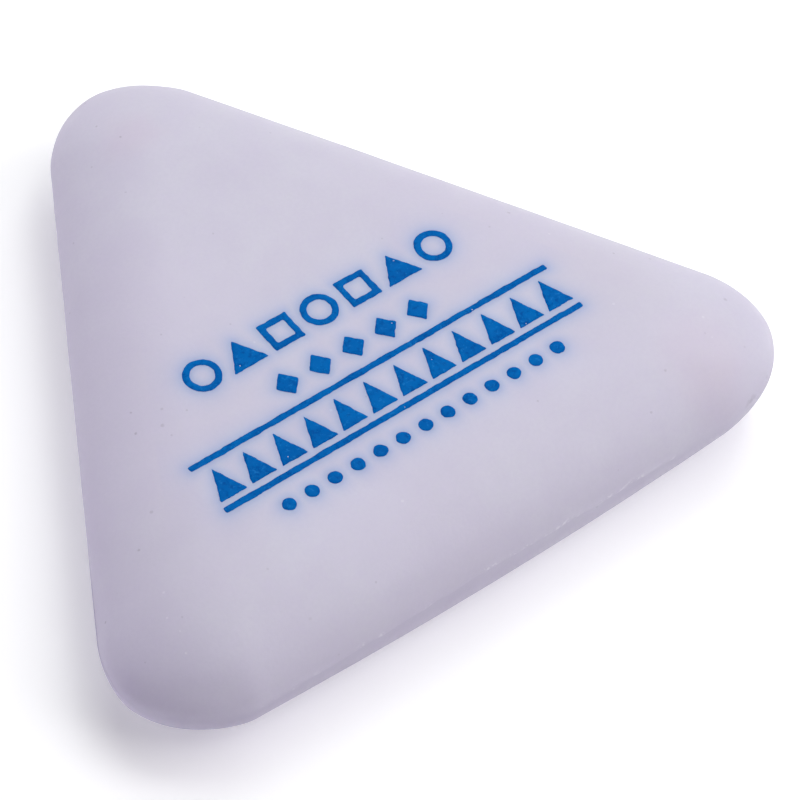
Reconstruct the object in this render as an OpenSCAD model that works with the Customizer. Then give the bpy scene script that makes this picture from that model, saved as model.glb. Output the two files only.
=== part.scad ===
// Triangular pocket eraser: one moulded soft-vinyl body with rounded corners,
// pillow-soft upper edges and a parting line round its side, and a decorative
// print of thin ink films on its upper face.
// Millimetres. +Z is up, +X runs along the front side, +Y points at the apex.
// The origin is the middle of the flat underside.

/* [Body] */
// Length of a side, measured over the rounded corners
side_len = 43; // [42:0.5:48]
// Radius of the corners at the parting line, seen from above
corner_r = 5.5; // [5.2:0.1:5.8]
// Overall thickness, underside to upper face
thick = 7.6; // [7:0.1:8.4]

/* [Edges] */
// Height of the mould parting line above the underside
parting_h = 4; // [3.8:0.1:4.4]
// Distance over which the upper face rounds off towards the side
top_round = 5.4; // [4.6:0.1:5.4]
// Fullness of the upper edge: 2 is an ellipse, less is flatter
top_full = 1.9; // [1.5:0.05:2.2]
// Distance over which the underside rounds off in the middle of a side
side_round = 4.2; // [2.8:0.1:4.4]
// Fullness of the lower edge in the middle of a side
side_full = 2.8; // [2:0.1:3]
// Distance over which the underside rounds off at the corners
tip_round = 4.9; // [4.4:0.1:5.4]

/* [Print] */
// Thickness of the ink films
ink_t = 0.05; // [0.03:0.01:0.1]
// Width of the triangle band
band_w = 24; // [20:0.5:24]
// Height of the triangle band
band_h = 3.6; // [3:0.1:4]
// Distance from the middle of the face down to the band's upper edge
band_drop = 2.2; // [2:0.1:2.6]
// Number of triangles in the band
band_count = 12; // [8:1:14]
// Size of the outline shapes in the upper row
shape_size = 2.2; // [1.6:0.1:2.4]
// Spacing of the outline shapes
shape_pitch = 2.6; // [2.5:0.1:2.8]
// Height of the upper row's centre above the middle of the face
shape_rise = 2.3; // [2:0.1:2.6]
// Stroke width of the outline shapes
stroke = 0.42; // [0.3:0.02:0.5]
// Number of diamonds in the middle row
diamond_count = 5; // [3:2:7]
// Number of dots in the lower row
dot_count = 13; // [7:2:13]
// Diameter of a dot
dot_d = 0.85; // [0.5:0.05:1.1]

/* [Hidden] */
$fn = 96;

vinyl = [0.86, 0.84, 0.90];
ink_blue = [0.02, 0.38, 0.70];

// Distance of the three corner axes from the middle
corner_out = (side_len - 2*corner_r)/sqrt(3);
// Distance of the sides' middle lines from the middle
side_in = corner_out/2;
edge_steps = 14;

// A point on the rounding between two faces, from the parting line (t = 0) to the flat face (t = 90)
function rounding(reach, rise, full, t) =
    [corner_r - reach*(1 - pow(cos(t), 2/full)), rise*pow(sin(t), 2/full)];

// Section of the edge, from a corner's own axis (x = 0) out to the side.
// The upper and the lower rounding meet on the parting line.
module edge_section(low_reach, low_full) {
    low = [for (k = [0:edge_steps]) let (p = rounding(low_reach, parting_h, low_full, 90 - 90*k/edge_steps)) [p[0], parting_h - p[1]]];
    up = [for (k = [1:edge_steps]) let (p = rounding(top_round, thick - parting_h, top_full, 90*k/edge_steps)) [p[0], parting_h + p[1]]];
    polygon(concat([[0, 0]], low, up, [[0, thick]]));
}

// One corner: the section turned about the corner's own axis
module body_corner() {
    rotate_extrude() edge_section(tip_round, 2);
}

// The middle of one side, where the lower edge is fuller than at the corners
module body_side() {
    rotate([90, 0, 0]) linear_extrude(height = side_len/8, center = true)
        translate([side_in, 0]) edge_section(side_round, side_full);
}

// The body is the three corners and the three sides' middles, with the skin drawn taut between them
module eraser_body() {
    color(vinyl) hull() for (k = [0:2]) {
        rotate([0, 0, 90 + 120*k]) translate([corner_out, 0, 0]) body_corner($fn = 48);
        rotate([0, 0, 30 + 120*k]) body_side();
    }
}

// A film of ink lying on the upper face
module film() {
    color(ink_blue) translate([0, 0, thick]) linear_extrude(height = ink_t) children();
}

module ring_mark(s) {
    difference() { circle(d = s); circle(d = s - 2*stroke); }
}

module square_mark(s) {
    difference() {
        square(s*0.9, center = true);
        square(s*0.9 - 2*stroke, center = true);
    }
}

module triangle_mark(w, h) {
    polygon([[-w/2, -h/2], [w/2, -h/2], [0, h/2]]);
}

module diamond_mark(w, h) {
    polygon([[-w/2, 0], [0, -h/2], [w/2, 0], [0, h/2]]);
}

// Rings, squares and triangles, the same to the left and to the right of the middle
module print_shape_row() {
    film() for (k = [-3:3]) translate([k*shape_pitch, shape_rise]) {
        if (abs(k) == 3 || k == 0) ring_mark(shape_size);
        if (abs(k) == 2) triangle_mark(shape_size*1.05, shape_size*0.9);
        if (abs(k) == 1) square_mark(shape_size);
    }
}

module print_diamond_row() {
    film() for (k = [0:diamond_count - 1])
        translate([(k - (diamond_count - 1)/2)*2.2, -0.75]) diamond_mark(1.5, 1.7);
}

// Two rules with a row of triangles between them
module print_triangle_band() {
    pitch = band_w/band_count;
    rule = 0.4;
    gap = 0.35;
    tall = band_h - 2*(rule + gap);
    film() translate([0, -band_drop - band_h/2]) {
        for (s = [-1, 1]) translate([0, s*(band_h - rule)/2]) square([band_w, rule], center = true);
        for (k = [0:band_count - 1])
            translate([(k - (band_count - 1)/2)*pitch, 0]) triangle_mark(pitch*0.86, tall);
    }
}

module print_dot_row() {
    film() for (k = [0:dot_count - 1])
        translate([(k - (dot_count - 1)/2)*1.5, -band_drop - band_h - 1.4]) circle(d = dot_d);
}

eraser_body();
print_shape_row();
print_diamond_row();
print_triangle_band();
print_dot_row();
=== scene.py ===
import math

import bpy
import numpy as np
from mathutils import Matrix, Vector
from mathutils.geometry import delaunay_2d_cdt
from mathutils.kdtree import KDTree


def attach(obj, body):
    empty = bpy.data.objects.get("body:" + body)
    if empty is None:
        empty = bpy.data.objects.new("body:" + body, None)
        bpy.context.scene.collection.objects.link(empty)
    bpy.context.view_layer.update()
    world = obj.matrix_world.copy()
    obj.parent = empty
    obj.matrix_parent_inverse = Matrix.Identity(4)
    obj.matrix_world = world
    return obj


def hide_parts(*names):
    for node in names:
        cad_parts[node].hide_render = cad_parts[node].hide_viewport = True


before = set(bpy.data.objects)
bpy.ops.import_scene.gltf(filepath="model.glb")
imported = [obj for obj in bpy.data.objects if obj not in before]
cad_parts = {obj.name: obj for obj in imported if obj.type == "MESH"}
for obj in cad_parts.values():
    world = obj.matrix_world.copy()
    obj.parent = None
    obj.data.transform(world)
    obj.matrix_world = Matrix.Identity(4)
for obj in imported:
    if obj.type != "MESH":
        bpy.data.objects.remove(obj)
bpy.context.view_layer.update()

MM = 0.001  # everything below is worked out in millimetres and stored in metres

# ---------------------------------------------------------------- sizes (mm)
CENTRES = 32.0                       # spacing of the three corner axes
CORNER_R = 5.5                       # corner radius at the parting line
THICK = 7.6
PARTING = 4.0                        # height of the mould's parting line
UP_H = THICK - PARTING
UP_S, UP_C, UP_N = 5.98, 6.49, 1.94  # reach of the pillow-soft upper edge at the sides and corners, and its fullness
TAPER = 0.79                         # how fast the corners sharpen from the parting line in to the upper face
LOW_A, LOW_N = 4.29, 2.77            # lower edge in the middle of a side
LOWC_A, LOWC_N = 4.86, 1.96          # lower edge at the corners, tucked further under
CORE = CENTRES / (2 * math.sqrt(3))  # inradius of the triangle of corner axes
STEP = 0.03                          # how far the lower mould half sits inside the upper one
HANDLED = np.array([-21.5, -6.0])    # where the parting line is rubbed away
RUBBED = np.array([18.6, -14.0])     # another rubbed spot
SHADE_SPOT = np.array([-18.0, -13.5])    # where the painted shade on the lower half is deepest
LESS_SHADE_SPOT = np.array([-21.3, -10.3])     # and a patch beside it where that painted shade is lighter
LEDGE = np.array([-20.4, -5.6])      # where the lower half stands proud, with painted shade below the parting line there
# the corners are not quite round: for each, direction off its tip and width (degrees), and how far the skin stands out there
UNEVEN = [[(12, 17, 0.155), (-56, 19, -0.255)], [(2, 15, 0.15), (-42, 10, -0.10), (48, 9, -0.065)], [(-22, 12, 0.16), (27, 15, -0.175)]]

AXES = [np.array([CENTRES / 2, -CORE]), np.array([0.0, 2 * CORE]), np.array([-CENTRES / 2, -CORE])]
NORMALS = [np.array([math.cos(math.radians(a)), math.sin(math.radians(a))]) for a in (30, 150, 270)]
TIPS = [np.array([math.cos(math.radians(a)), math.sin(math.radians(a))]) for a in (-30, 90, 210)]


# ---------------------------------------------------------------- noise
def lattice(i, j, k, seed):
    h = (i * 374761393 + j * 668265263 + k * 1440662683 + seed * 974634777) & 0xFFFFFFFF
    h = ((h ^ (h >> 13)) * 1274126177) & 0xFFFFFFFF
    h = ((h ^ (h >> 15)) * 2246822519) & 0xFFFFFFFF
    return ((h ^ (h >> 16)) & 0xFFFF) / 32767.5 - 1.0


def noise(p, seed=0):
    """Smooth value noise in -1..1 at points p of shape (n, 3), one lattice cell per unit."""
    p = np.asarray(p, float)
    f = np.floor(p).astype(np.int64)
    u = p - f
    u = u * u * u * (u * (u * 6 - 15) + 10)
    out = np.zeros(len(p))
    for a in (0, 1):
        for b in (0, 1):
            for c in (0, 1):
                w = (u[:, 0] if a else 1 - u[:, 0]) * (u[:, 1] if b else 1 - u[:, 1]) * (u[:, 2] if c else 1 - u[:, 2])
                out += w * lattice(f[:, 0] + a, f[:, 1] + b, f[:, 2] + c, seed)
    return out


def smooth(x, lo, hi):
    t = np.clip((np.asarray(x, float) - lo) / (hi - lo), 0, 1)
    return t * t * (3 - 2 * t)


# ---------------------------------------------------------------- body surface
def inset_of(xy):
    """How far in from the parting line a point lies, counted by the contour that passes through it."""
    h = np.stack([CORE + CORNER_R - xy @ n for n in NORMALS], axis=1)
    d = h.min(axis=1)
    near = h.argmin(axis=1)
    m = 2 * (1 - TAPER)
    for tip, axis in zip(TIPS, AXES):
        for s, n in enumerate(NORMALS):
            if n @ tip < 0.4:
                continue
            along = np.array([-n[1], n[0]])
            along = along if along @ tip > 0 else -along
            centre = axis - m * h[:, s:s + 1] * tip
            zone = ((xy - centre) @ along > 0) & (near == s)
            q = xy[zone] - axis
            # the contour's corner centre slides in as its radius shrinks: |q + m d tip| = CORNER_R - TAPER d
            qa = m * m - TAPER * TAPER
            qb = 2 * CORNER_R * TAPER + 2 * m * (q @ tip)
            qc = CORNER_R ** 2 - (q ** 2).sum(axis=1)
            d[zone] = 2 * qc / (qb + np.sqrt(np.maximum(qb * qb + 4 * qa * qc, 0)))
    return np.maximum(d, 0)


def side_share(xy, d):
    """0 in the middle of a side, 1 round the corners."""
    near = np.stack([xy @ n for n in NORMALS], axis=1).argmax(axis=1)
    share = np.ones(len(xy))
    for s, n in enumerate(NORMALS):
        m = near == s
        half = CENTRES / 2 - 2 * (1 - TAPER) * math.cos(math.radians(30)) * d[m]
        share[m] = 1 - np.cos(0.5 * math.pi * np.clip(xy[m] @ np.array([-n[1], n[0]]) / half, -1, 1))
    return share


def upper_height(xy):
    d = inset_of(xy)
    u = np.clip(1 - d / (UP_S + (UP_C - UP_S) * side_share(xy, d)), 0, 1)
    return PARTING + UP_H * (1 - u ** UP_N) ** (1 / UP_N)


def undulation(p):
    """Slight unevenness that a soft moulding keeps."""
    return 0.016 * noise(p / 8.0, 11) + 0.008 * noise(p / 3.1, 12) + 0.0025 * noise(p / 1.1, 13)


def top_z(xy):
    """Height of the finished upper face."""
    z = upper_height(xy)
    return z + undulation(np.c_[xy, z])


def make_object(name, verts, faces, material, smooth_shade=True):
    mesh = bpy.data.meshes.new(name)
    mesh.from_pydata((np.asarray(verts) * MM).tolist(), [], faces)
    mesh.validate()
    mesh.update()
    if smooth_shade:
        mesh.polygons.foreach_set("use_smooth", [True] * len(mesh.polygons))
    obj = bpy.data.objects.new(name, mesh)
    bpy.context.scene.collection.objects.link(obj)
    mesh.materials.append(material)
    return obj


def swell(k, off):
    """How far the tangent at an angle off a corner's tip stands out from a true arc."""
    total = sum(push * math.exp(-0.5 * ((off - at) / width) ** 2) for at, width, push in UNEVEN[k])
    return total * math.sin(math.pi / 2 * min(max((60 - abs(off)) / 24, 0.0), 1.0))


def bulge_at(k, off):
    """The shift of a point of the corner arc that moves its tangents by swell."""
    ahead, behind = min(0.5, 60 - off), min(0.5, 60 + off)
    turn = (swell(k, off + ahead) - swell(k, off - behind)) / math.radians(ahead + behind)
    a = math.radians(120 * k - 30 + off)
    out = swell(k, off)
    return (out * math.cos(a) - turn * math.sin(a), out * math.sin(a) + turn * math.cos(a))


def build_outline(n_arc=58, n_side=170):
    c, n, g, s, lean, bulge = [], [], [], [], [], []
    run = 0.0
    for k in range(3):
        a0 = -90 + 120 * k
        for i in range(n_arc):
            th = math.radians(a0 + 120 * i / (n_arc - 1))
            c.append(AXES[k])
            n.append((math.cos(th), math.sin(th)))
            g.append(1.0)
            lean.append(TIPS[k])
            bulge.append(bulge_at(k, 120 * i / (n_arc - 1) - 60))
            s.append(run + CORNER_R * math.radians(120) * i / (n_arc - 1))
        run += CORNER_R * math.radians(120)
        nn = n[-1]
        left, met = np.array(bulge_at(k, 60)), np.array(bulge_at((k + 1) % 3, -60))
        for i in range(1, n_side + 1):
            f = i / (n_side + 1)
            c.append(AXES[k] * (1 - f) + AXES[(k + 1) % 3] * f)
            n.append(nn)
            g.append(1 - math.sin(math.pi * f))
            lean.append(TIPS[k] * (1 - f) + TIPS[(k + 1) % 3] * f)
            bulge.append(left * max(0.0, 1 - 4 * f) + met * max(0.0, 4 * f - 3))
            s.append(run + CENTRES * f)
        run += CENTRES
    return np.array(c), np.array(n), np.array(g), np.array(s), np.array(lean), np.array(bulge), run


def cap(loop, spacing):
    """Fills a closed outline. Gives the points added inside it, and triangles turned up that count the outline first."""
    lo, hi = loop.min(0), loop.max(0)
    grid = []
    for r, y in enumerate(np.arange(lo[1], hi[1], spacing * 0.866)):
        x = np.arange(lo[0] + (0.5 * spacing if r % 2 else 0.0), hi[0], spacing)
        grid.append(np.c_[x, np.full(len(x), y)])
    grid = np.concatenate(grid)
    grid = grid[inside(loop, grid)]
    grid = grid[edge_distance([loop], grid) > 0.6 * spacing]
    m = len(loop)
    got = delaunay_2d_cdt([Vector(q) for q in np.concatenate([loop, grid])], [(k, (k + 1) % m) for k in range(m)], [], 1, 1e-7)
    first = np.array([o[0] for o in got[3]])
    xy = np.array([tuple(v) for v in got[0]])
    tri = np.array([tuple(f) for f in got[2]])
    tri = tri[inside(loop, xy[tri].mean(axis=1))]
    e1, e2 = xy[tri[:, 1]] - xy[tri[:, 0]], xy[tri[:, 2]] - xy[tri[:, 0]]
    flip = e1[:, 0] * e2[:, 1] - e1[:, 1] * e2[:, 0] < 0
    tri[flip] = tri[flip][:, ::-1]
    return grid, first[tri]


def build_body(material, ink_points):
    c, n, g, s, lean, bulge, length = build_outline()
    count = len(c)
    low_a = LOW_A + (LOWC_A - LOW_A) * g
    low_n = LOW_N + (LOWC_N - LOW_N) * g
    reach = UP_S + (UP_C - UP_S) * g
    rings, flash, skin = [], [], []

    # noise along the outline is read round a circle, so that it closes on itself
    turn = 2 * math.pi * s / length
    rad = length / (2 * math.pi)
    circle = np.c_[np.cos(turn) * rad, np.sin(turn) * rad, np.zeros(count)]
    wander = 0.03 + 0.09 * noise(circle / 2.3, 21) + 0.08 * noise(circle / 0.8, 22)
    burr = smooth(noise(circle / 0.42, 23) + 0.55 * noise(circle / 2.6, 24), -0.1, 0.4)
    thread = 0.5 + 0.5 * noise(circle / 1.7, 25)
    # painted shade on the lower half, deepest at one spot and lighter beside it; and in places the parting line is
    # rubbed away
    side = c + n * CORNER_R
    near_to = lambda spot, spread: np.exp(-((side - spot) ** 2).sum(axis=1) / spread)
    shade_depth = 0.42 + 0.17 * near_to(SHADE_SPOT, 72.0) - 0.25 * near_to(LESS_SHADE_SPOT, 10.0)
    crisp = 1 - smooth(np.maximum(near_to(HANDLED, 72.0), near_to(RUBBED, 24.0)), 0.05, 0.3)
    ledge = near_to(LEDGE, 14.0)

    def low_contour(zz):
        d = low_a * (1 - (1 - (zz / PARTING) ** low_n) ** (1 / low_n))
        return c + n * (CORNER_R - d)[:, None]

    def contour(d):
        d = d[:, None]
        return c - 2 * (1 - TAPER) * d * lean + n * (CORNER_R - TAPER * d)

    def add(base, z):
        z = np.full(count, float(z))
        near = (z - PARTING - wander) / 0.06
        out = np.exp(-near * near) * (0.001 * thread + 0.012 * burr) * crisp
        out = out - STEP * crisp * smooth(PARTING + wander - z, -0.06, 0.14) * smooth(z, 0.0, 0.6)
        swollen = (1 - smooth(z, PARTING + 1.2, PARTING + 3.0)) * smooth(z, -0.2, 1.0)
        below = smooth(PARTING + wander - z, -0.06, 0.06)
        out = out - ledge * (0.05 * (1 - below) - 0.02 * below) * swollen
        rings.append(np.c_[base + n * out[:, None] + bulge * swollen[:, None], z])
        flash.append(np.exp(-(near * 0.38 - 0.2) ** 2) * np.clip(0.04 + 0.96 * burr, 0, 1) * crisp)
        edge = smooth(PARTING + wander - z, -0.22, 0.28) * crisp + smooth(PARTING - z, -0.5, 0.5) * (1 - crisp)
        # painted shade: darker on the band just below the parting line, further down towards the underside, and below
        # the proud ledge
        band_shade = shade_depth * (0.30 * edge + 0.30 * smooth(PARTING + 1.3 - z, 0.0, 1.4))
        skin.append(band_shade + 0.24 * ledge * below * (1 - smooth(PARTING - z, 0.2, 2.2)))

    # lower edge, from the flat underside up
    for t in np.linspace(math.pi / 2, 0, 40):
        zz = PARTING * math.sin(t) ** (2 / 2.3)
        if zz < 0.32:
            break
        add(low_contour(zz), PARTING - zz)
    # close rings either side of the parting line
    for zz in (-0.27, -0.215, -0.17, -0.135, -0.105, -0.08, -0.055, -0.03, -0.005, 0.02, 0.045, 0.07, 0.1, 0.13, 0.165, 0.21, 0.27):
        if zz < 0:
            add(low_contour(-zz), PARTING + zz)
        else:
            add(contour(reach * (1 - (1 - (zz / UP_H) ** UP_N) ** (1 / UP_N))), PARTING + zz)
    # upper edge
    for t in np.linspace(0, math.pi / 2, 62):
        zz = UP_H * math.sin(t) ** (2 / UP_N)
        d = reach * (1 - math.cos(t) ** (2 / UP_N))
        if zz < 0.32:
            continue
        if d.max() > 5.4:
            break
        add(contour(d), PARTING + zz)

    verts = np.concatenate(rings)
    nr = len(rings)
    # surface unevenness, pushed out along a rough normal
    up = np.clip((verts[:, 2] - PARTING) / UP_H, -1, 1)
    sideways = np.tile(n, (nr, 1)) * np.sqrt(1 - up ** 2)[:, None]
    verts = verts + np.c_[sideways, np.clip(up, 0, 1)] * (undulation(verts) * smooth(verts[:, 2], 0.1, 1.2))[:, None]
    faces = []
    for r in range(nr - 1):
        a, b = r * count, (r + 1) * count
        for i in range(count):
            j = (i + 1) % count
            faces.append((a + i, a + j, b + j, b + i))

    # the flat underside and the upper face
    under, tri = cap(verts[:count, :2], 0.8)
    index = np.concatenate([np.arange(count), len(verts) + np.arange(len(under))])
    faces += [tuple(t[::-1]) for t in index[tri].tolist()]
    verts = np.concatenate([verts, np.c_[under, np.zeros(len(under))]])
    rim = (nr - 1) * count
    upper, tri = cap(verts[rim:rim + count, :2], 0.2)
    index = np.concatenate([rim + np.arange(count), len(verts) + np.arange(len(upper))])
    faces += [tuple(t) for t in index[tri].tolist()]
    verts = np.concatenate([verts, np.c_[upper, top_z(upper)]])
    flash = np.concatenate(flash + [np.zeros(len(under) + len(upper))])
    # the underside carries the same painted shade
    skin = np.concatenate(skin + [np.full(len(under), 0.4), np.zeros(len(upper))])
    obj = make_object("eraser_moulding", verts, faces, material)

    # how close each point is to the ink, for the tint that bleeds into the vinyl
    tree = KDTree(len(ink_points))
    for i, p in enumerate(ink_points):
        tree.insert((p[0], p[1], 0.0), i)
    tree.balance()
    halo = np.zeros(len(verts))
    for i in np.nonzero(verts[:, 2] > THICK - 0.25)[0]:
        dist = tree.find((verts[i, 0], verts[i, 1], 0.0))[2]
        halo[i] = math.exp(-max(0.0, dist - 0.05) / 0.33) + 0.3 * math.exp(-dist)
    # the painted shade of the lower half is stored beside the flash and the ink bleed
    for name, values in (("flash", flash), ("skin", skin), ("bleed", halo)):
        attr = obj.data.attributes.new(name, "FLOAT", "POINT")
        attr.data.foreach_set("value", np.asarray(values, np.float32))
    return obj


# ---------------------------------------------------------------- ink films
def resample(loop, spacing=0.075):
    loop = np.asarray(loop, float)
    out = []
    for i in range(len(loop)):
        p, q = loop[i], loop[(i + 1) % len(loop)]
        m = max(1, int(round(np.linalg.norm(q - p) / spacing)))
        for k in range(m):
            out.append(p + (q - p) * k / m)
    return np.array(out)


def ragged(loop, seed, amount=1.0, rounds=2):
    """A printed edge: corners a little rounded, outline slightly uneven."""
    p = resample(loop)
    for _ in range(rounds):
        p = 0.5 * p + 0.25 * (np.roll(p, 1, 0) + np.roll(p, -1, 0))
    tangent = np.roll(p, -1, 0) - np.roll(p, 1, 0)
    tangent /= np.maximum(np.linalg.norm(tangent, axis=1, keepdims=True), 1e-9)
    side = np.c_[tangent[:, 1], -tangent[:, 0]]
    q = np.c_[p, np.full(len(p), 0.37)]
    off = 0.024 * noise(q / 0.33, seed) + 0.016 * noise(q / 0.14, seed + 1) + 0.012 * noise(q / 1.3, seed + 2)
    return p + side * (amount * off)[:, None]


def ring_loop(x, y, r, m=64):
    a = np.linspace(0, 2 * math.pi, m, endpoint=False)
    return np.c_[x + r * np.cos(a), y + r * np.sin(a)]


def inside(loop, pts):
    x, y = pts[:, 0:1], pts[:, 1:2]
    (x0, y0), (x1, y1) = loop.T, np.roll(loop, -1, 0).T
    hit = np.zeros(len(pts), bool)
    for s in range(0, len(loop), 512):
        e = slice(s, s + 512)
        crossed = ((y0[e] > y) != (y1[e] > y)) & (x < (x1[e] - x0[e]) * (y - y0[e]) / (y1[e] - y0[e] + 1e-12) + x0[e])
        hit ^= (crossed.sum(axis=1) % 2).astype(bool)
    return hit


def edge_distance(loops, pts):
    best = np.full(len(pts), 1e9)
    for lp in loops:
        for s in range(0, len(lp), 400):
            part = lp[s:s + 400]
            best = np.minimum(best, np.sqrt(((pts[:, None, :] - part[None]) ** 2).sum(-1)).min(1))
    return best


FILM = 0.014  # how far the ink stands above the vinyl


def film_mesh(outer, holes, seed):
    """One closed film: a triangulated top, a turned-down rim and an underside just below the vinyl."""
    loops = [outer] + holes
    # points inside, on a jittered grid, so that the film follows the face
    lo, hi = outer.min(0), outer.max(0)
    gx, gy = np.meshgrid(np.arange(lo[0] + 0.1, hi[0], 0.2), np.arange(lo[1] + 0.1, hi[1], 0.2))
    grid = np.c_[gx.ravel(), gy.ravel()]
    if len(grid):
        jig = np.c_[grid, np.full(len(grid), 0.7)]
        grid = grid + 0.05 * np.c_[noise(jig * 7.3, seed + 5), noise(jig * 7.3, seed + 6)]
        keep = inside(outer, grid)
        for h in holes:
            keep &= ~inside(h, grid)
        grid = grid[keep]
    if len(grid):
        grid = grid[edge_distance(loops, grid) > 0.08]
    pts = np.concatenate(loops + [grid]) if len(grid) else np.concatenate(loops)
    edges, start = [], 0
    for lp in loops:
        m = len(lp)
        edges += [(start + i, start + (i + 1) % m) for i in range(m)]
        start += m
    got = delaunay_2d_cdt([Vector(p) for p in pts], edges, [], 1, 1e-7)
    xy = np.array([tuple(v) for v in got[0]])
    tri = np.array([tuple(f) for f in got[2]])
    mids = xy[tri].mean(axis=1)
    keep = inside(outer, mids)
    for h in holes:
        keep &= ~inside(h, mids)
    tri = tri[keep]
    # keep every face turned up
    e1, e2 = xy[tri[:, 1]] - xy[tri[:, 0]], xy[tri[:, 2]] - xy[tri[:, 0]]
    flip = e1[:, 0] * e2[:, 1] - e1[:, 1] * e2[:, 0] < 0
    tri[flip] = tri[flip][:, ::-1]
    used = np.unique(tri)
    remap = -np.ones(len(xy), int)
    remap[used] = np.arange(len(used))
    xy, tri = xy[used], remap[tri]
    n = len(xy)
    # boundary edges are those used once
    seen = {}
    for a, b, c in tri.tolist():
        for e in ((a, b), (b, c), (c, a)):
            seen[e] = 1
    rim = [e for e in seen if (e[1], e[0]) not in seen]
    on_rim = np.zeros(n, bool)
    pull = np.zeros((n, 2))
    for a, b in rim:
        on_rim[[a, b]] = True
        d = xy[b] - xy[a]
        nrm = np.array([-d[1], d[0]]) / (np.linalg.norm(d) + 1e-9)
        pull[a] += nrm
        pull[b] += nrm
    pull /= np.maximum(np.linalg.norm(pull, axis=1, keepdims=True), 1e-9)
    face = top_z(xy)
    far = edge_distance(loops, xy)
    lift = FILM * (0.62 + 0.38 * smooth(far, 0.0, 0.16)) + 0.003 * noise(np.c_[xy, np.zeros(n)] / 0.3, seed + 9)
    top_xy = xy + np.where(on_rim[:, None], pull * 0.016, 0)
    top = np.c_[top_xy, face + lift]
    bottom = np.c_[xy, face - 0.02]
    faces = [tuple(t) for t in tri.tolist()]
    faces += [(n + c, n + b, n + a) for a, b, c in tri.tolist()]
    faces += [(b, a, n + a, n + b) for a, b in rim]
    return np.concatenate([top, bottom]), faces, xy


def pinholes(outer, holes, seed, count):
    """Small voids where the ink did not take."""
    lo, hi = outer.min(0), outer.max(0)
    made = []
    rng = np.random.RandomState(seed)
    tries = 0
    while len(made) < count and tries < 60 * count + 60:
        tries += 1
        p = lo + (hi - lo) * rng.rand(2)
        r = 0.018 + 0.02 * rng.rand() ** 2
        if not inside(outer, p[None])[0]:
            continue
        clear = edge_distance([outer] + holes + [m[0] for m in made], p[None])[0]
        if clear < r + 0.075:
            continue
        a = np.linspace(0, 2 * math.pi, 12, endpoint=False)
        rr = r * (1 + 0.25 * noise(np.c_[np.cos(a), np.sin(a), np.full(12, seed * 0.1 + len(made))] * 1.4, seed))
        made.append((np.c_[p[0] + rr * np.cos(a), p[1] + rr * np.sin(a)],))
    return [m[0] for m in made]


def build_print(name, shapes, material, seed):
    verts, faces, points = [], [], []
    base = 0
    for i, (outer, holes, voids) in enumerate(shapes):
        o = ragged(outer, seed + 31 * i)
        hs = [ragged(h, seed + 31 * i + 7) for h in holes]
        hs += pinholes(o, hs, seed + 31 * i + 3, voids)
        v, f, xy = film_mesh(o, hs, seed + 31 * i)
        verts.append(v)
        faces += [tuple(base + k for k in t) for t in f]
        points.append(xy)
        base += len(v)
    obj = make_object(name, np.concatenate(verts), faces, material, smooth_shade=True)
    return obj, np.concatenate(points)


def square_loop(x, y, s):
    h = s / 2
    return [(x - h, y - h), (x + h, y - h), (x + h, y + h), (x - h, y + h)]


def triangle_loop(x, y, w, h):
    return [(x - w / 2, y - h / 2), (x + w / 2, y - h / 2), (x, y + h / 2)]


def diamond_loop(x, y, w, h):
    return [(x - w / 2, y), (x, y - h / 2), (x + w / 2, y), (x, y + h / 2)]


def print_shapes():
    size, pitch, rise, stroke = 2.2, 2.6, 2.3, 0.42
    row = []
    for k in range(-3, 4):
        x = k * pitch
        if abs(k) in (0, 3):
            row.append((ring_loop(x, rise, size / 2), [ring_loop(x, rise, size / 2 - stroke)], 0))
        elif abs(k) == 2:
            row.append((triangle_loop(x, rise, size * 1.05, size * 0.9), [], 1))
        else:
            row.append((square_loop(x, rise, size * 0.9), [square_loop(x, rise, size * 0.9 - 2 * stroke)], 0))
    diamonds = [(diamond_loop((k - 2) * 2.2, -0.75, 1.5, 1.7), [], 1 if k == 3 else 0) for k in range(5)]
    band_w, band_h, drop, rule, gap = 24.0, 3.6, 2.2, 0.4, 0.35
    mid = -drop - band_h / 2
    band = []
    for sgn in (-1, 1):
        y = mid + sgn * (band_h - rule) / 2
        band.append(([(-band_w / 2, y - rule / 2), (band_w / 2, y - rule / 2), (band_w / 2, y + rule / 2), (-band_w / 2, y + rule / 2)], [], 1))
    for k in range(12):
        band.append((triangle_loop((k - 5.5) * 2.0, mid, 1.72, band_h - 2 * (rule + gap)), [], 1 if k in (2, 7, 10) else 0))
    dots = [(ring_loop((k - 6) * 1.5, -drop - band_h - 1.4, 0.425, 40), [], 0) for k in range(13)]
    return {"print_shape_row": row, "print_diamond_row": diamonds, "print_triangle_band": band, "print_dot_row": dots}


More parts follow.
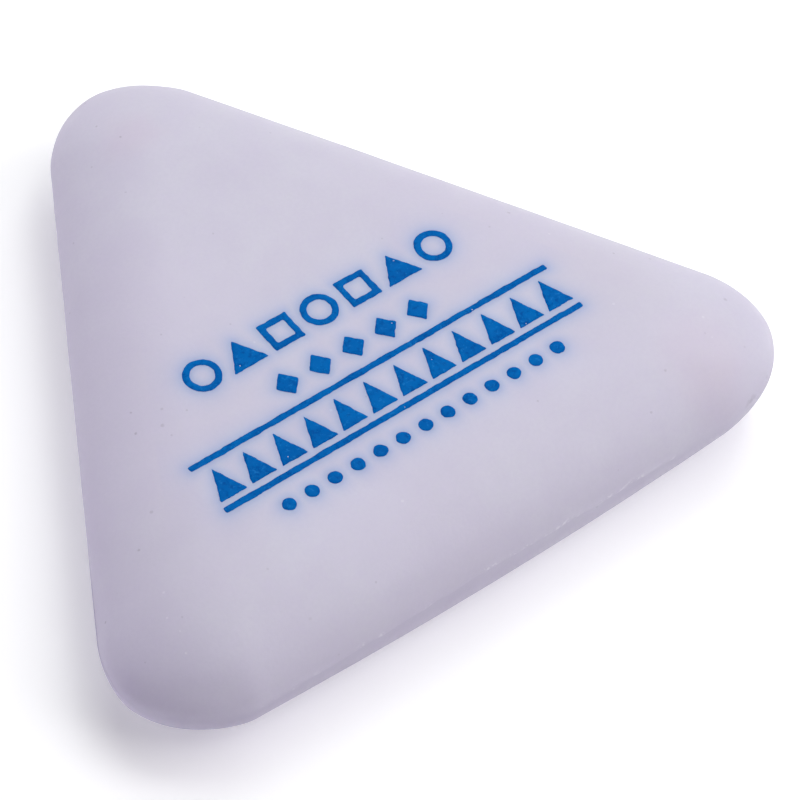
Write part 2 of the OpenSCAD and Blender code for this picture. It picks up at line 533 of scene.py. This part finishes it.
# ---------------------------------------------------------------- materials
class Tree:
    """Short calls for building a node tree."""

    def __init__(self, mat):
        mat.use_nodes = True
        self.t = mat.node_tree
        self.t.nodes.clear()

    def node(self, kind, **values):
        n = self.t.nodes.new(kind)
        for k, v in values.items():
            setattr(n, k, v)
        return n

    def link(self, a, b):
        self.t.links.new(a, b)

    def put(self, sock, value):
        if isinstance(value, bpy.types.NodeSocket):
            self.link(value, sock)
        else:
            sock.default_value = value

    def math(self, op, a, b=None, c=None, clamp=False):
        n = self.node("ShaderNodeMath", operation=op, use_clamp=clamp)
        for i, v in enumerate((a, b, c)):
            if v is not None:
                self.put(n.inputs[i], v)
        return n.outputs[0]

    def noise(self, vec, scale, detail=2.0, rough=0.5):
        n = self.node("ShaderNodeTexNoise")
        self.link(vec, n.inputs["Vector"])
        n.inputs["Scale"].default_value = scale
        n.inputs["Detail"].default_value = detail
        n.inputs["Roughness"].default_value = rough
        return n.outputs[0]

    def remap(self, v, a, b, c=0.0, d=1.0, kind="SMOOTHSTEP"):
        n = self.node("ShaderNodeMapRange", interpolation_type=kind, clamp=True)
        self.link(v, n.inputs[0])
        for i, x in enumerate((a, b, c, d)):
            n.inputs[1 + i].default_value = x
        return n.outputs[0]

    def mix(self, fac, a, b, blend="MIX"):
        n = self.node("ShaderNodeMix", data_type="RGBA", blend_type=blend, clamp_factor=True)
        self.put(n.inputs[0], fac)
        self.put(n.inputs[6], a)
        self.put(n.inputs[7], b)
        return n.outputs[2]


def rgb(r, g, b):
    return (r, g, b, 1.0)


# small dark grains and scuffs on the moulding: x, y (mm), radius and strength
GRAINS = [(-12.7, 1.5, 0.12, 0.38), (-16.8, -4.6, 0.11, 0.34), (-1.6, 18.8, 0.09, 0.36), (-2.0, 20.6, 0.10, 0.32),
          (-12.1, 2.8, 0.10, 0.32), (-11.4, 0.9, 0.15, 0.24), (-10.8, 1.8, 0.12, 0.22), (-15.0, -3.2, 0.13, 0.24),
          (13.2, 2.3, 0.14, 0.28), (11.3, 1.7, 0.11, 0.22), (16.1, -3.4, 0.10, 0.30), (17.8, -4.6, 0.10, 0.30),
          (19.3, -9.3, 0.16, 0.26), (13.1, -11.5, 0.12, 0.24), (-20.2, -6.4, 0.12, 0.36), (-3.7, 15.3, 0.08, 0.24),
          (11.0, -12.94, 0.11, 0.26), (16.5, -10.8, 0.09, 0.14), (18.2, -12.3, 0.10, 0.14), (-12.3, -9.8, 0.10, 0.16), (-11.9, -13.0, 0.14, 0.12)]
# scuffs on the side: x, y, z (mm), radius and strength
SCUFFS = [(16.80, -14.48, 4.30, 0.20, 0.12), (17.00, -14.43, 4.42, 0.26, 0.16), (17.19, -14.39, 4.32, 0.22, 0.24), (17.36, -14.33, 4.44, 0.27, 0.16),
          (17.57, -14.29, 4.32, 0.20, 0.14), (18.86, -13.70, 4.50, 0.22, 0.10)]
# small pale grains, given the same way
CRUMBS = [(-17.4, -7.7, 0.10, 0.32), (-18.1, -9.0, 0.09, 0.34), (-18.0, -10.0, 0.08, 0.30), (-18.4, -11.1, 0.10, 0.34)]
# faint smears left by handling, near the tips; the broad patches of radius 5 mm and more are painted shade where darker
# and painted light where paler: x, y (mm), radius, colour
SMEARS_AND_PAINTED_TONE = [(-1.0, 18.7, 2.6, rgb(0.640, 0.515, 0.640)), (15.8, -11.4, 4.0, rgb(0.700, 0.575, 0.700)), (15.1, -13.6, 3.2, rgb(0.565, 0.475, 0.575)),
          (-16.4, -6.8, 7.0, rgb(0.490, 0.452, 0.555)), (13.5, -5.0, 6.0, rgb(0.565, 0.520, 0.600)),
          (-6.5, -10.9, 6.0, rgb(0.700, 0.672, 0.812)), (-5.3, 6.2, 5.0, rgb(0.690, 0.660, 0.785))]


def vinyl_material():
    mat = bpy.data.materials.new("soft_vinyl")
    t = Tree(mat)
    out = t.node("ShaderNodeOutputMaterial")
    bsdf = t.node("ShaderNodeBsdfPrincipled")
    t.link(bsdf.outputs[0], out.inputs[0])
    pos = t.node("ShaderNodeTexCoord").outputs["Object"]

    # cloudy colour: large warm and cool patches, a finer mottle, and a grain
    large = t.noise(pos, 95.0, 2.0)
    patch = t.noise(pos, 330.0, 3.0, 0.55)
    grain = t.noise(pos, 4200.0, 2.0, 0.6)
    base = t.mix(t.remap(large, 0.36, 0.64), rgb(0.626, 0.592, 0.716), rgb(0.640, 0.616, 0.728))
    base = t.mix(t.remap(patch, 0.34, 0.68, 0.0, 0.55), base, rgb(0.612, 0.576, 0.708))
    base = t.mix(t.remap(grain, 0.3, 0.7, 0.0, 0.16), base, rgb(0.560, 0.528, 0.660))

    # smears, the broad patches of painted shade and painted light, and grains sit at listed places on the upper face
    wob = t.node("ShaderNodeVectorMath", operation="MULTIPLY_ADD")
    nz = t.node("ShaderNodeTexNoise")
    t.link(pos, nz.inputs["Vector"])
    nz.inputs["Scale"].default_value = 420.0
    t.link(nz.outputs["Color"], wob.inputs[0])
    wob.inputs[1].default_value = (0.0022,) * 3
    t.link(pos, wob.inputs[2])
    for x, y, r, col in SMEARS_AND_PAINTED_TONE:
        z = float(top_z(np.array([[x, y]]))[0])
        d = t.node("ShaderNodeVectorMath", operation="DISTANCE")
        t.link(wob.outputs[0], d.inputs[0])
        d.inputs[1].default_value = ((x + 1.1) * MM, (y + 1.1) * MM, (z + 1.1) * MM)
        base = t.mix(t.remap(d.outputs["Value"], 0.15 * r * MM, r * MM, 0.2, 0.0), base, col)
    wob2 = t.node("ShaderNodeVectorMath", operation="MULTIPLY_ADD")
    nz2 = t.node("ShaderNodeTexNoise")
    t.link(pos, nz2.inputs["Vector"])
    nz2.inputs["Scale"].default_value = 9000.0
    t.link(nz2.outputs["Color"], wob2.inputs[0])
    wob2.inputs[1].default_value = (0.00012,) * 3
    t.link(pos, wob2.inputs[2])
    grains, crumbs = ([(x, y, float(top_z(np.array([[x, y]]))[0]), r, a) for x, y, r, a in marks] for marks in (GRAINS, CRUMBS))
    for marks, col in ((grains + SCUFFS, rgb(0.23, 0.20, 0.27)), (crumbs, rgb(0.84, 0.82, 0.90))):
        for x, y, z, r, strength in marks:
            d = t.node("ShaderNodeVectorMath", operation="DISTANCE")
            t.link(wob2.outputs[0], d.inputs[0])
            d.inputs[1].default_value = ((x + 0.06) * MM, (y + 0.06) * MM, (z + 0.06) * MM)
            base = t.mix(t.remap(d.outputs["Value"], 0.3 * r * MM, r * MM, strength, 0.0), base, col)
    # finer specks anywhere, dark ones and pale ones
    for scale, size, col, amount in ((560.0, 0.05, rgb(0.36, 0.33, 0.42), 0.35), (400.0, 0.045, rgb(0.78, 0.76, 0.84), 0.4)):
        v = t.node("ShaderNodeTexVoronoi", feature="F1", distance="EUCLIDEAN")
        t.link(pos, v.inputs["Vector"])
        v.inputs["Scale"].default_value = scale
        base = t.mix(t.remap(v.outputs["Distance"], 0.4 * size, size, amount, 0.0), base, col)

    # ink bleeding into the vinyl
    bleed = t.node("ShaderNodeAttribute", attribute_name="bleed").outputs["Fac"]
    base = t.mix(t.math("MULTIPLY", bleed, 0.27), base, rgb(0.0, 0.25, 0.70))
    # painted shade darkens the lower half below the parting line and the underside, and torn flash on the parting line
    # is paler
    skin = t.node("ShaderNodeAttribute", attribute_name="skin").outputs["Fac"]
    base = t.mix(skin, base, rgb(0.40, 0.35, 0.49), "MULTIPLY")
    flash = t.node("ShaderNodeAttribute", attribute_name="flash").outputs["Fac"]
    torn = t.math("MULTIPLY", flash, t.remap(t.noise(pos, 4600.0, 1.0), 0.48, 0.59))
    base = t.mix(t.math("MULTIPLY", torn, 0.6), base, rgb(0.80, 0.78, 0.86))
    t.link(base, bsdf.inputs["Base Color"])

    rough = t.remap(t.noise(pos, 700.0, 3.0), 0.3, 0.7, 0.50, 0.62)
    t.link(t.math("ADD", rough, t.math("MULTIPLY", torn, 0.2)), bsdf.inputs["Roughness"])
    bsdf.inputs["IOR"].default_value = 1.5
    bsdf.inputs["Specular IOR Level"].default_value = 0.4
    bsdf.inputs["Subsurface Weight"].default_value = 0.35
    bsdf.inputs["Subsurface Radius"].default_value = (1.0, 0.85, 1.1)
    bsdf.inputs["Subsurface Scale"].default_value = 0.0009

    # moulded skin: a fine pebble and a broader orange-peel
    fine = t.noise(pos, 5200.0, 2.0, 0.55)
    peel = t.noise(pos, 900.0, 2.0, 0.5)
    b1 = t.node("ShaderNodeBump")
    b1.inputs["Strength"].default_value = 0.16
    b1.inputs["Distance"].default_value = 0.00003
    t.link(fine, b1.inputs["Height"])
    b2 = t.node("ShaderNodeBump")
    b2.inputs["Strength"].default_value = 0.18
    b2.inputs["Distance"].default_value = 0.00006
    t.link(peel, b2.inputs["Height"])
    t.link(b1.outputs[0], b2.inputs["Normal"])
    t.link(b2.outputs[0], bsdf.inputs["Normal"])
    return mat


def ink_material():
    mat = bpy.data.materials.new("printing_ink")
    t = Tree(mat)
    out = t.node("ShaderNodeOutputMaterial")
    bsdf = t.node("ShaderNodeBsdfPrincipled")
    t.link(bsdf.outputs[0], out.inputs[0])
    pos = t.node("ShaderNodeTexCoord").outputs["Object"]
    broad = t.noise(pos, 520.0, 2.0)
    blotch = t.noise(pos, 3600.0, 3.0, 0.6)
    thin = t.noise(pos, 5600.0, 2.0, 0.6)
    base = t.mix(t.remap(broad, 0.35, 0.65), rgb(0.0, 0.112, 0.418), rgb(0.0, 0.134, 0.462))
    base = t.mix(t.remap(blotch, 0.48, 0.70, 0.0, 0.85), base, rgb(0.0, 0.080, 0.335))
    base = t.mix(t.remap(thin, 0.55, 0.75, 0.0, 0.7), base, rgb(0.010, 0.190, 0.545))
    t.link(base, bsdf.inputs["Base Color"])
    t.link(t.remap(t.noise(pos, 2600.0, 2.0), 0.3, 0.7, 0.42, 0.62), bsdf.inputs["Roughness"])
    bsdf.inputs["Specular IOR Level"].default_value = 0.02
    b = t.node("ShaderNodeBump")
    b.inputs["Strength"].default_value = 0.3
    b.inputs["Distance"].default_value = 0.00002
    t.link(blotch, b.inputs["Height"])
    t.link(b.outputs[0], bsdf.inputs["Normal"])
    return mat


def floor_material():
    mat = bpy.data.materials.new("pale_floor")
    t = Tree(mat)
    out = t.node("ShaderNodeOutputMaterial")
    bsdf = t.node("ShaderNodeBsdfPrincipled")
    t.link(bsdf.outputs[0], out.inputs[0])
    pos = t.node("ShaderNodeTexCoord").outputs["Object"]
    base = t.mix(t.remap(t.noise(pos, 40.0, 3.0), 0.3, 0.7), rgb(0.90, 0.90, 0.91), rgb(0.92, 0.92, 0.93))
    t.link(base, bsdf.inputs["Base Color"])
    bsdf.inputs["Roughness"].default_value = 0.9
    bsdf.inputs["Specular IOR Level"].default_value = 0.1
    bsdf.inputs["Emission Color"].default_value = rgb(1.0, 1.0, 1.0)
    bsdf.inputs["Emission Strength"].default_value = 0.25
    return mat


# ---------------------------------------------------------------- build
vinyl = vinyl_material()
ink = ink_material()

ink_points = []
for number, (node_name, shapes) in enumerate(print_shapes().items()):
    piece, pts = build_print(node_name + "_ink", shapes, ink, 1000 + 500 * number)
    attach(piece, "root")
    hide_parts(node_name)
    ink_points.append(pts)

body = build_body(vinyl, np.concatenate(ink_points))
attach(body, "root")
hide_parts("eraser_body")

# ---------------------------------------------------------------- floor
bpy.ops.mesh.primitive_grid_add(x_subdivisions=8, y_subdivisions=8, size=6.0, location=(0, 0, -0.00001))
floor = bpy.context.object
floor.name = "floor"
floor.data.materials.append(floor_material())

# ---------------------------------------------------------------- light
def studio_world(glow=0.0):
    """The studio's own dim light. Past the floor's far edge the camera sees a plain pale backdrop."""
    world = bpy.data.worlds.new("studio")
    bpy.context.scene.world = world
    t = Tree(world)
    out = t.node("ShaderNodeOutputWorld")
    light = t.node("ShaderNodeBackground")
    light.inputs[1].default_value = glow
    back = t.node("ShaderNodeBackground")
    back.inputs[0].default_value = (0.95, 0.95, 0.96, 1.0)
    pick = t.node("ShaderNodeMixShader")
    t.link(t.node("ShaderNodeLightPath").outputs["Is Camera Ray"], pick.inputs[0])
    t.link(light.outputs[0], pick.inputs[1])
    t.link(back.outputs[0], pick.inputs[2])
    t.link(pick.outputs[0], out.inputs[0])
    return world


def softbox(name, azimuth, elevation, height, power, colour=(1.0, 1.0, 1.0), distance=0.3, width=0.24):
    """A soft light aimed at the object. Azimuth is measured from +X towards +Y."""
    a, e = math.radians(azimuth), math.radians(elevation)
    where = Vector((math.cos(a) * math.cos(e), math.sin(a) * math.cos(e), math.sin(e)))
    data = bpy.data.lights.new(name, "AREA")
    data.shape = "RECTANGLE"
    data.size = width
    data.size_y = height
    data.energy = power
    data.color = colour
    lamp = bpy.data.objects.new(name, data)
    lamp.location = where * distance
    lamp.rotation_mode = "QUATERNION"
    lamp.rotation_quaternion = where.to_track_quat("Z", "Y")
    lamp.visible_camera = False
    bpy.context.scene.collection.objects.link(lamp)
    return lamp


studio_world()
softbox("key_front", 315, 60, 0.24, 0.412, (0.99, 0.98, 1.0))
softbox("key_back", 45, 60, 0.24, 0.521, (0.97, 1.0, 0.97))
softbox("fill_front", 315, 35, 0.24, 0.236, (1.0, 0.96, 0.97))
softbox("low_left", 180, 15, 0.14, 0.132, (0.85, 0.73, 1.0))
softbox("low_far", 135, 15, 0.14, 0.134, (0.93, 0.86, 1.0))
softbox("low_back", 90, 15, 0.14, 0.138, (1.0, 1.0, 0.97))

bpy.context.scene.view_settings.view_transform = "Standard"
bpy.context.scene.view_settings.look = "None"

# ---------------------------------------------------------------- camera
cam_data = bpy.data.cameras.new("camera")
cam_data.sensor_width = 36.0
cam_data.lens = 4035.0 / 800 * 36.0
cam_data.clip_start = 0.01
cam_data.clip_end = 20.0
cam = bpy.data.objects.new("camera", cam_data)
bpy.context.scene.collection.objects.link(cam)
right = Vector((0.794508, -0.605192, 0.050003))
down = Vector((-0.460499, -0.654129, -0.600046))
ahead = Vector((0.395852, 0.453715, -0.798401))
turn = Matrix((right, -down, -ahead)).transposed().to_4x4()
cam.matrix_world = Matrix.Translation(Vector((-85.459, -102.915, 179.707)) * MM) @ turn
bpy.context.scene.camera = cam

# ---------------------------------------------------------------- bring the scene's transforms up to date
bpy.context.view_layer.update()
